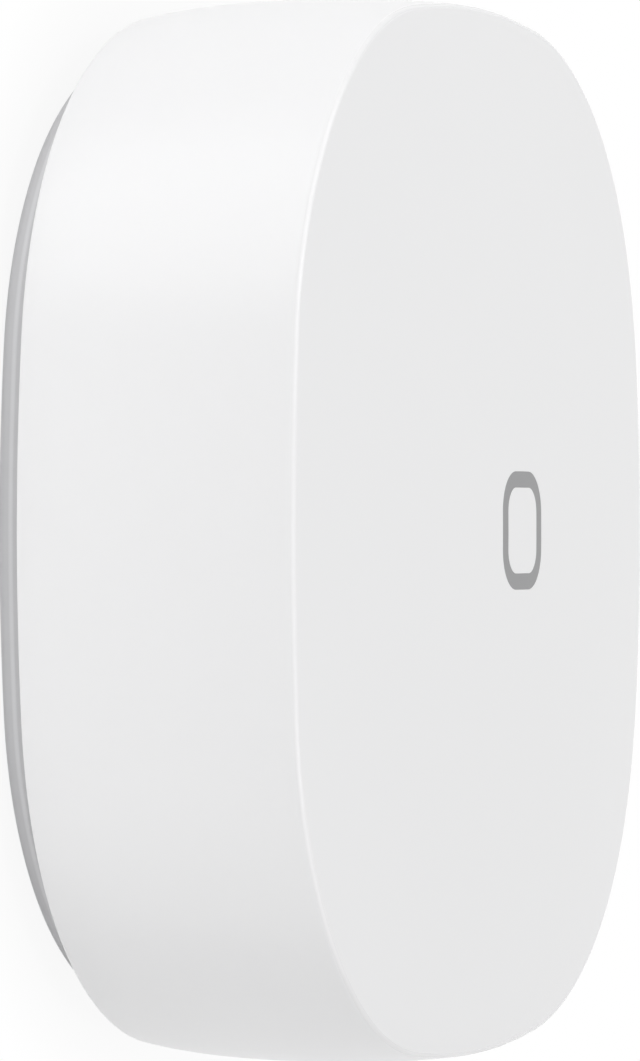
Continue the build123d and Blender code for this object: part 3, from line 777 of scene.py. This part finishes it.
def buildCover():
    kit = ShapeKit("back_cover", {**outline, **cover})
    size = kit.size
    ring = Ring(kit)
    inset, thick, lip = size.plateInset, size.thickness, size.lipRound
    steps = 0, lip, size.spigotWall - lip, size.spigotWall
    spigot = [ring.parallel(size.spigotInset + step) for step in steps]
    seat = [ring.circle(size.seatRadius + step) for step in (size.seatWall, size.seatWall - lip, lip, 0)]
    wall = ring.parallel(inset)
    ring.start(middle, 0.0)
    ring.to((seat[3], 0.0), rows=2)
    ring.to((ring.parallel(inset + size.edgeRound), 0.0), rows=8)
    ring.bend(8, (wall, 0.0), (wall, size.edgeRound))
    # The notch is cut into the top of the wall, on the +X side alone
    notchLow = thick - size.notchHeight
    fromNotch = wall[1] / (size.notchWidth / 2)
    dip = maths("SQRT", maths("MAXIMUM", 1 - fromNotch * fromNotch, 0))
    onX = ring.onSide * ((ring.turn < 0.5) + (ring.turn > 6.0))  # the last column is the first again
    cut = inset + dip * size.notchDepth * onX
    notch = ring.parallel(cut)
    groove = ring.parallel(cut + size.grooveDepth)
    grooveLow = size.edgeRound + size.beadHeight
    ring.to((wall, notchLow), (notch, notchLow))
    # this strip of the wall is lightened by a painted highlight, and polished
    ring.to((notch, grooveLow), rows=4, polishedAndLit="beadWear")
    ring.to((groove, grooveLow + size.bevelHeight), (groove, thick - lip))
    ring.bend(3, (groove, thick), (ring.parallel(cut + size.grooveDepth + lip), thick))
    ring.to((spigot[0], thick))
    ring.over(spigot, size.spigotTop, lip)
    ring.to((spigot[3], thick))
    ring.to((seat[0], thick), rows=8)
    ring.over(seat, size.seatTop, lip)
    ring.to((seat[3], size.seatFloor))
    ring.to((middle, size.seatFloor), rows=3)
    return kit.grow([*ring.bands, buildPegs(kit)], "coverGrey")


place(buildCover(), "rear_cover")
print("rear cover built")

# Soft posts that hold the cap up, and two click domes
posts = {"radius": 0.8, "waist": 0.66, "foot": 0.18, "tip": 0.14, "sink": 0.1}
clickDome = {"radius": 1.7, "sheet": 0.05, "dimple": 0.03}
pairingDome = {"radius": 0.75, "sheet": 0.05, "dimple": 0.02}
dimpleShare = 0.3  # of a dome's radius
domeShares = [0, 0.15, 0.3, 0.36, 0.5, 0.65, 0.8, 0.92, 1.0]


def buildPosts():
    low, high = corners("return_pads")
    spot = high.x - posts["radius"]
    kit = ShapeKit("return_posts", {**posts, "low": low.z, "high": high.z, "spot": spot})
    size = kit.size
    high = size.high - size.sink
    low, radius, waist, foot, tip = size.low, size.radius, size.waist, size.foot, size.tip
    profile = [
        (0, low), (radius, low), (radius, low + foot * 0.6), (radius * 0.93, low + foot),
        (waist, low + foot * 2), (waist, high - tip * 3), (radius * 0.9, high - tip),
        (radius * 0.86, high - tip * 0.4), (radius * 0.72, high), (0, high),
    ]
    spots = kit.node("GeometryNodeMeshCircle", {"Vertices": 4, "Radius": size.spot})
    return kit.grow([kit.repeated(kit.lathe(profile, 32), spots)], "siliconeMilk", 50)


def buildDome(name, look, node, finish, up):  # a sheet metal dome, dimpled in its middle
    low, high = corners(node)
    foot, crown = (low.z, high.z) if up else (high.z, low.z)
    spot = (low + high) / 2
    kit = ShapeKit(name, {**look, "foot": foot, "crown": crown, "x": spot.x, "y": spot.y})
    size = kit.size
    way, least = (1, "MAXIMUM") if up else (-1, "MINIMUM")
    outside = []
    for share in domeShares:
        dimple = size.dimple * (way * max(0.0, 1 - (share / dimpleShare) ** 2))
        height = size.foot + (size.crown - size.foot) * (1 - share ** 2)
        outside.append((size.radius * share, height - dimple))
    inside = [(radius, maths(least, height - way * size.sheet, size.foot)) for radius, height in outside[:-1]]
    profile = inside + outside[::-1] if up else outside + inside[::-1]
    return kit.grow([kit.moved(kit.lathe(profile, 48), (size.x, size.y, 0))], finish, 60)


place(buildPosts(), "return_pads")
place(buildDome("click_dome", clickDome, "snap_dome", "tinSheet", True), "snap_dome")
place(buildDome("pairing_dome", pairingDome, "connect_dome", "springBronze", False), "connect_dome")
for name, joint, node, fixedEnd, keep in (
    ("return_posts", "press_travel", "return_pads", 0, 0.82),
    ("click_dome", "press_travel", "snap_dome", 0, 0.15),
    ("pairing_dome", "connect_press", "connect_dome", 1, 0.15),
):
    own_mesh(bpy.data.objects[name])
print("posts and domes built")

# Screws of the board: a pan head with a cross recess over a rolled thread
screw = {
    "headRadius": screwHead, "headHeight": 0.5, "shankRadius": 0.6, "headRound": 0.12, "pitch": 0.42,
    "threadDepth": 0.11, "recessLength": 1.44, "recessWidth": 0.3, "recessDepth": 0.28, "point": 0.3,
}
threadColumns, threadRows = 24, 56
screwTurn = 0.35


def buildScrews():
    low, high = corners("board_screws")
    spot = high.x - screwHead
    kit = ShapeKit("frame_screws", {**screw, "tipLow": low.z, "headHigh": high.z, "spot": spot})
    size = kit.size
    high, soft, radius = size.headHigh, size.headRound, size.headRadius
    low = high - size.headHeight
    profile = [
        (0, low), (radius - soft * 0.5, low), (radius, low + soft * 0.5), (radius, high - soft * 1.6),
        (radius - soft * 0.4, high - soft * 0.6), (radius - soft * 1.3, high), (0, high),
    ]
    head = kit.welded(kit.lathe(profile, 48))
    reach, arm = size.recessLength / 2, size.recessWidth / 2
    quarter = [(arm, -reach), (arm, -arm), (reach, -arm)]
    cross = list(quarter)
    for _ in range(3):  # each quarter is the one before, turned
        quarter = [(-z, x) for x, z in quarter]
        cross += quarter
    cutter = kit.welded(kit.prism(cross, -size.recessDepth, size.recessDepth))
    cutter = kit.moved(cutter, (0, 0, high), (pi / 2, 0, 0))
    cut = kit.node("GeometryNodeMeshBoolean", {0: head, 1: cutter}, operation="DIFFERENCE")
    # The thread's ridge climbs by one pitch for each turn
    turns, along = kit.shares()
    share = maths("ROUND", along * threadRows) / threadRows
    height = size.tipLow + share * (low - size.tipLow + soft)
    phase = maths("FRACT", (height - size.tipLow) / size.pitch - turns + 8)
    taper = maths("MINIMUM", (height - size.tipLow) / size.point * 0.7 + 0.3, 1)
    radius = (size.shankRadius - abs(phase * 2 - 1) * size.threadDepth) * taper * (share > 0)
    thread = kit.grid(threadColumns, threadRows, kit.join(*polar(radius, turns * (2 * pi)), height))
    whole = kit.gather([cut, kit.welded(thread)])
    return kit.grow([threeCorners(kit, whole, size.spot, screwTurn)], "zincSteel", 30)


place(buildScrews(), "board_screws")
print("screws built")

# Foam pad between the magnet's keeper and the cell
foam = {"radius": 6.0, "edge": 0.12, "crown": 0.05}


def buildFoam():
    kit = ShapeKit("cell_foam", {**foam, "low": bottom("cell_pad"), "high": top("cell_pad")})
    size = kit.size
    radius, edge, low, high = size.radius, size.edge, size.low, size.high
    side = high - size.crown
    profile = [
        (0, low), (radius - edge, low), (radius - edge * 0.3, low + edge * 0.3), (radius, low + edge),
        (radius, side - edge), (radius - edge * 0.3, side - edge * 0.3), (radius - edge, side),
        (radius * 0.85, high - size.crown * 0.4), (radius * 0.6, high - size.crown * 0.1), (0, high),
    ]
    return kit.grow([kit.lathe(profile, 72)], "foamBlack", 60)


place(buildFoam(), "cell_pad")
print("foam pad built")

# Chip parts: a body between two metal ends, with solder drawn up each end
chip = {"edge": 0.04, "step": 0.02, "solderReach": 0.16, "solderShare": 0.7}
smallChip = {"length": 1.0, "width": 0.5, "end": 0.25}
chipRows = {  # in each row, how many chips, and the step from one to the next
    "small_capacitors": {"piece": "tan_chips", "finish": "ceramicTan", "upper": (3, 2.0), "lower": (4, -2.0)},
    "small_resistors": {"piece": "dark_chips", "finish": "chipBlack", "upper": (3, -2.0), "lower": (2, 1.1)},
}
largeChips = {  # the piece, its finish and the length of its metal ends
    "reservoir_capacitor": ("reservoir_block", "resinYellow", 0.5),
    "chip_antenna": ("antenna_block", "ceramicWhite", 0.5),
}


def chipShape(kit, finish):  # stands along X, its foot at height 0
    size = kit.size
    half, across, high = size.length / 2, size.width / 2, size.height
    end, edge, step = size.end, size.edge, size.step
    body = kit.softBlock(half - end / 2, across - step, step, high - step, edge)
    terminal = kit.moved(kit.softBlock(end / 2, across, 0, high, edge), (half - end / 2, 0, 0))
    reach, rise = size.solderReach, high * size.solderShare
    profile = [(0, 0), (0, rise), (reach * 0.22, rise * 0.5), (reach * 0.5, rise * 0.2), (reach, 0)]
    solder = kit.moved(kit.prism(profile, -across, across), (half, 0, 0))
    metal = kit.gather([terminal, solder])
    ends = [kit.painted(kit.moved(metal, rotation=(0, 0, turn)), "solderTin") for turn in (0, pi)]
    return kit.welded(kit.gather([kit.painted(body, finish), *ends]))


def buildChipRows(node, look):
    low, high = corners(node)
    kit = ShapeKit(look["piece"], {**chip, **smallChip, "height": high.z - low.z})
    shape = chipShape(kit, look["finish"])
    half, inward = smallChip["length"] / 2, smallChip["width"] / 2
    rows = []
    for (count, step), y in ((look["upper"], high.y - half), (look["lower"], low.y + half)):
        x = low.x + inward if step > 0 else high.x - inward
        line = {"Count": count, "Start Location": (x, y, low.z), "Offset": (step, 0, 0)}
        rows.append(kit.repeated(shape, kit.node("GeometryNodeMeshLine", line), pi / 2))
    return kit.grow(rows, None, 40)


def buildLargeChip(node, piece, finish, end):
    low, high = corners(node)
    width, spot = high - low, (low + high) / 2
    kit = ShapeKit(piece, {**chip, "length": width.x, "width": width.y, "height": width.z, "end": end})
    return kit.grow([kit.moved(chipShape(kit, finish), (spot.x, spot.y, low.z))], None, 40)


for node, look in chipRows.items():
    place(buildChipRows(node, look), node)
for node, look in largeChips.items():
    place(buildLargeChip(node, *look), node)
print("chip parts built")

# Pieces that keep their CAD form: the piece, the width of its soft edges and its finish
softened = {
    "actuator_pad": ("touch_pad", 0.05, "siliconeMilk"),
    "chassis": ("inner_frame", 0.07, "frameGrey"),
    "circuit_board": ("board_panel", 0.0, "maskGreen"),
    "switch_body": ("switch_housing", 0.05, "switchBlack"),
    "switch_contacts": ("switch_leads", 0.025, "solderTin"),
    "switch_plate": ("switch_cover", 0.02, "tinSheet"),
    "switch_plunger": ("switch_stem", 0.05, "nylonNatural"),
    "shield_can": ("radio_shield", 0.05, "tinSheet"),
    "radio_chip": ("radio_package", 0.04, "chipBlack"),
    "crystal": ("crystal_case", 0.04, "ceramicWhite"),
    "memory_chip": ("memory_package", 0.03, "chipBlack"),
    "temperature_sensor": ("air_sensor", 0.04, "ceramicWhite"),
    "indicator_led": ("signal_lamp", 0.04, "ceramicWhite"),
    "test_pads": ("probe_pads", 0.015, "goldFlash"),
    "negative_contact": ("leaf_spring", 0.02, "springBronze"),
    "positive_contact": ("side_spring", 0.02, "springBronze"),
    "connect_switch_body": ("pairing_housing", 0.04, "switchBlack"),
    "connect_switch_plate": ("pairing_cover", 0.02, "tinSheet"),
    "connect_plunger": ("pairing_stem", 0.04, "nylonNatural"),
    "magnet": ("back_magnet", 0.03, "nickelPlate"),
    "magnet_plate": ("magnet_keeper", 0.04, "zincSteel"),
    "cell_can": ("cell_case", 0.03, "cellSteel"),
    "cell_gasket": ("cell_seal", 0.02, "gasketWhite"),
    "cell_lid": ("cell_top", 0.03, "cellSteel"),
    "cell_core": ("cell_filling", 0.03, "cellPowder"),
}
# A second finish, on upright faces, on those above a height or on those near the ends along X
secondFinishes = {
    "circuit_board": {"finish": "sawnFibre"},
    "crystal": {"finish": "nickelPlate", "above": 0.28},
    "indicator_led": {"finish": "lensResin", "above": 0.28},
    "memory_chip": {"finish": "solderTin", "ends": 0.45},
}
weldGap, flatAngle, bevelAngle, sharpAngle = 0.0005, 0.5, 30, 50


def formed(name, form, finish):  # an object from a bmesh
    mesh = bpy.data.meshes.new(name)
    form.to_mesh(mesh)
    form.free()
    mesh.materials.append(finishes[finish])
    return added(name, mesh)


def soften(node, name, edge, finish):
    form = bmesh.new()
    form.from_mesh(cadNodes[node].data)
    bmesh.ops.remove_doubles(form, verts=form.verts, dist=weldGap * mm)
    bmesh.ops.dissolve_limit(form, angle_limit=radians(flatAngle), verts=form.verts, edges=form.edges)
    piece = formed(name, form, finish)
    attributes = piece.data.attributes
    if "custom_normal" in attributes:
        attributes.remove(attributes["custom_normal"])
    if edge:
        rounding = piece.modifiers.new("edges", "BEVEL")
        rounding.width = edge * mm
        rounding.segments = 2
        rounding.limit_method = "ANGLE"
        rounding.angle_limit = radians(bevelAngle)
        plain(piece)
    piece.data.shade_smooth()
    piece.data.set_sharp_from_angle(angle=radians(sharpAngle))
    piece.modifiers.new("flats", "WEIGHTED_NORMAL").keep_sharp = True
    return plain(piece)


def addSecondFinish(mesh, node, look):
    mesh.materials.append(finishes[look["finish"]])
    low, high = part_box(node)
    hair = 1e-6
    for face in mesh.polygons:
        spot = face.center
        if "above" in look:
            second = spot.z > low.z + look["above"] * mm + hair
        elif "ends" in look:
            second = min(spot.x - low.x, high.x - spot.x) < look["ends"] * mm - hair
        else:
            second = abs(face.normal.z) < 0.5
        face.material_index = int(second)


for node, look in softened.items():
    place(soften(node, *look), node)
for node, look in secondFinishes.items():
    addSecondFinish(bpy.data.objects[softened[node][0]].data, node, look)
print("softened pieces made:", len(softened))

# Copper tracks under the lacquer, on both faces of the board, with a via at each end
board = {"trackHeight": 0.012, "trackWidth": 0.18, "viaRadius": 0.22, "sink": 0.004}
viaSides = 16
topTracks = [
    [(-6.65, 9.1), (-6.65, 7.6), (-6.8, 7.45), (-6.8, 6.2)], [(1.7, 3), (1.7, 4.2), (1, 4.9), (1, 5.1)],
    [(3, 5.1), (3, 3)], [(5, 6.1), (5, 8.4), (4.8, 8.6), (4.8, 9.4)], [(3, 6.1), (3, 9), (3.7, 9.7)],
    [(7.9, 1.2), (8.6, 1.2), (9, 0.8), (9, -1.6), (9.5, -2.1)], [(7.9, 3), (9.4, 3), (10.2, 2.2)],
    [(3.5, -3.4), (3.5, -4.7), (2.1, -6.1)], [(-4, -6.1), (-4, -4.5)],
    [(-2, -6.1), (-2, -4.2), (-1.75, -3.9)], [(0, -6.1), (0, -4), (1.5, -3)],
    [(-4, -8), (-4, -7.1)], [(-2.9, -8), (-2.9, -7.9), (-2.1, -7.1)],
    [(6.9, -2), (8.2, -2), (8.8, -2.6), (9.3, -2.6)], [(-8.6, 3), (-9.6, 3), (-9.9, 3.3), (-9.9, 6)],
    [(-8.6, -2), (-9.7, -2), (-9.7, -5.2), (-7.4, -7.5), (-5, -7.5)], [(5.2, -6), (7.2, -6), (8.8, -4.4)],
]
bottomTracks = [
    [(-3, -6.6), (-3, -5.4), (-5.2, -3.2), (-5.2, -2.2)], [(-1.5, -6.6), (-1.5, -4), (-2.4, -3.1)],
    [(0, -6.6), (0, -4.6), (1.6, -3), (1.6, -2.2)], [(1.5, -6.6), (1.5, -5.2), (5.6, -1.1), (5.6, 3.4)],
    [(3, -6.6), (3, -6.2), (7.4, -1.8), (7.4, 2.8), (5.9, 4.3)], [(6.6, -6.6), (6.6, -5.4), (6, -4.8)],
    [(0.9, 10), (0.9, 7.2), (3.6, 4.5), (3.6, 2.6)], [(-0.9, 10), (-0.9, 7.4), (-3.9, 4.4), (-3.9, 2.6)],
    [(-4.4, 0.8), (-5.6, 0.8), (-8.2, -1.8), (-8.2, -4.6)],
    [(-4.4, -0.8), (-5.2, -0.8), (-7.3, -2.9), (-7.3, -5.2)],
    [(-8.8, 1), (-8.8, 4), (-6.2, 6.6)], [(8.8, 0.4), (8.8, 3.6), (6.4, 6), (6.4, 7)],
]


def stripPoints(path, width):  # the two sides of a path, mitred at its bends
    path = [Vector(spot) for spot in path]
    legs = [(after - before).normalized() for before, after in zip(path, path[1:])]
    sides = []
    for i, spot in enumerate(path):
        met = legs[max(i - 1, 0):i + 1]
        way = sum(met, Vector((0, 0))).normalized()
        out = Vector((-way.y, way.x)) * (width / 2 / max(way.dot(met[0]), 0.5))
        sides.append((spot + out, spot - out))
    return sides


def addTrack(form, path, width, low, high):
    rings = []
    for left, right in stripPoints(path, width):
        ends = [(right, low), (left, low), (left, high), (right, high)]
        rings.append([form.verts.new((spot.x * mm, spot.y * mm, height * mm)) for spot, height in ends])
    for before, after in zip(rings, rings[1:]):
        for i in range(4):
            form.faces.new((before[i], before[(i + 1) % 4], after[(i + 1) % 4], after[i]))
    form.faces.new(rings[0][::-1])
    form.faces.new(rings[-1])


def buildTracks(name, tracks, surface, up):
    form = bmesh.new()
    low, high = sorted((surface - board["sink"] * up, surface + board["trackHeight"] * up))
    radius, depth = board["viaRadius"] * mm, (high - low + board["sink"]) * mm
    disc = {"segments": viaSides, "radius1": radius, "radius2": radius * 0.9, "depth": depth}
    for path in tracks:
        addTrack(form, path, board["trackWidth"], low, high)
        for spot in (path[0], path[-1]):
            spot = Matrix.Translation(Vector((*spot, (low + high) / 2)) * mm)
            bmesh.ops.create_cone(form, cap_ends=True, matrix=spot, **disc)
    bmesh.ops.recalc_face_normals(form, faces=form.faces)
    return formed(name, form, "trackGreen")


place(buildTracks("top_tracks", topTracks, top("circuit_board"), 1), "circuit_board", False)
place(buildTracks("under_tracks", bottomTracks, bottom("circuit_board"), -1), "circuit_board", False)
print("tracks laid:", len(topTracks) + len(bottomTracks))

# Vias: one row along the board's edge, clear of the corner screws and of the antenna
vias = {
    "fromEdge": 0.5, "ringRadius": 0.24, "holeRadius": 0.11, "proud": 0.012, "dip": 0.1,
    "clearWidth": 7.4, "antennaRoom": 0.8,
}
viaCount, viaColumns = 52, 14


def buildEdgeVias():
    low, high = corners("circuit_board")
    values = {**outline, **vias, "boardInset": outline["halfWidth"] - high.x, "low": low.z, "high": high.z}
    kit = ShapeKit("edge_vias", values)
    size = kit.size
    ring = Ring(kit, maths("ROUND", kit.node("GeometryNodeInputIndex") * (4 * quarterColumns) / viaCount))
    x, y = ring.parallel(size.boardInset + size.fromEdge)
    spots = kit.node("GeometryNodePoints", {"Count": viaCount, "Position": ring.turned(x, y, 0)})
    across, up, _ = kit.position()
    clear = maths("MINIMUM", abs(across), abs(up)) < size.clearWidth
    low, high = corners("chip_antenna")
    spot, reach = (low + high) / 2, (high - low) / 2
    beside = abs(across - spot.x) > reach.x + size.antennaRoom
    beyond = abs(up - spot.y) > reach.y + size.antennaRoom
    # A plated hole, with a ring and a dip at both ends
    low, high = size.low - size.proud, size.high + size.proud
    outer, hole, dip = size.ringRadius, size.holeRadius, size.dip
    profile = [
        (0, low + dip), (hole, low + dip), (hole, low), (outer, low), (outer, high), (hole, high),
        (hole, high - dip), (0, high - dip),
    ]
    via = kit.repeated(kit.lathe(profile, viaColumns), spots, 0.0, clear * maths("MAXIMUM", beside, beyond))
    return kit.grow([via], "goldFlash", 30)


place(buildEdgeVias(), "test_pads", False)
print("vias placed")
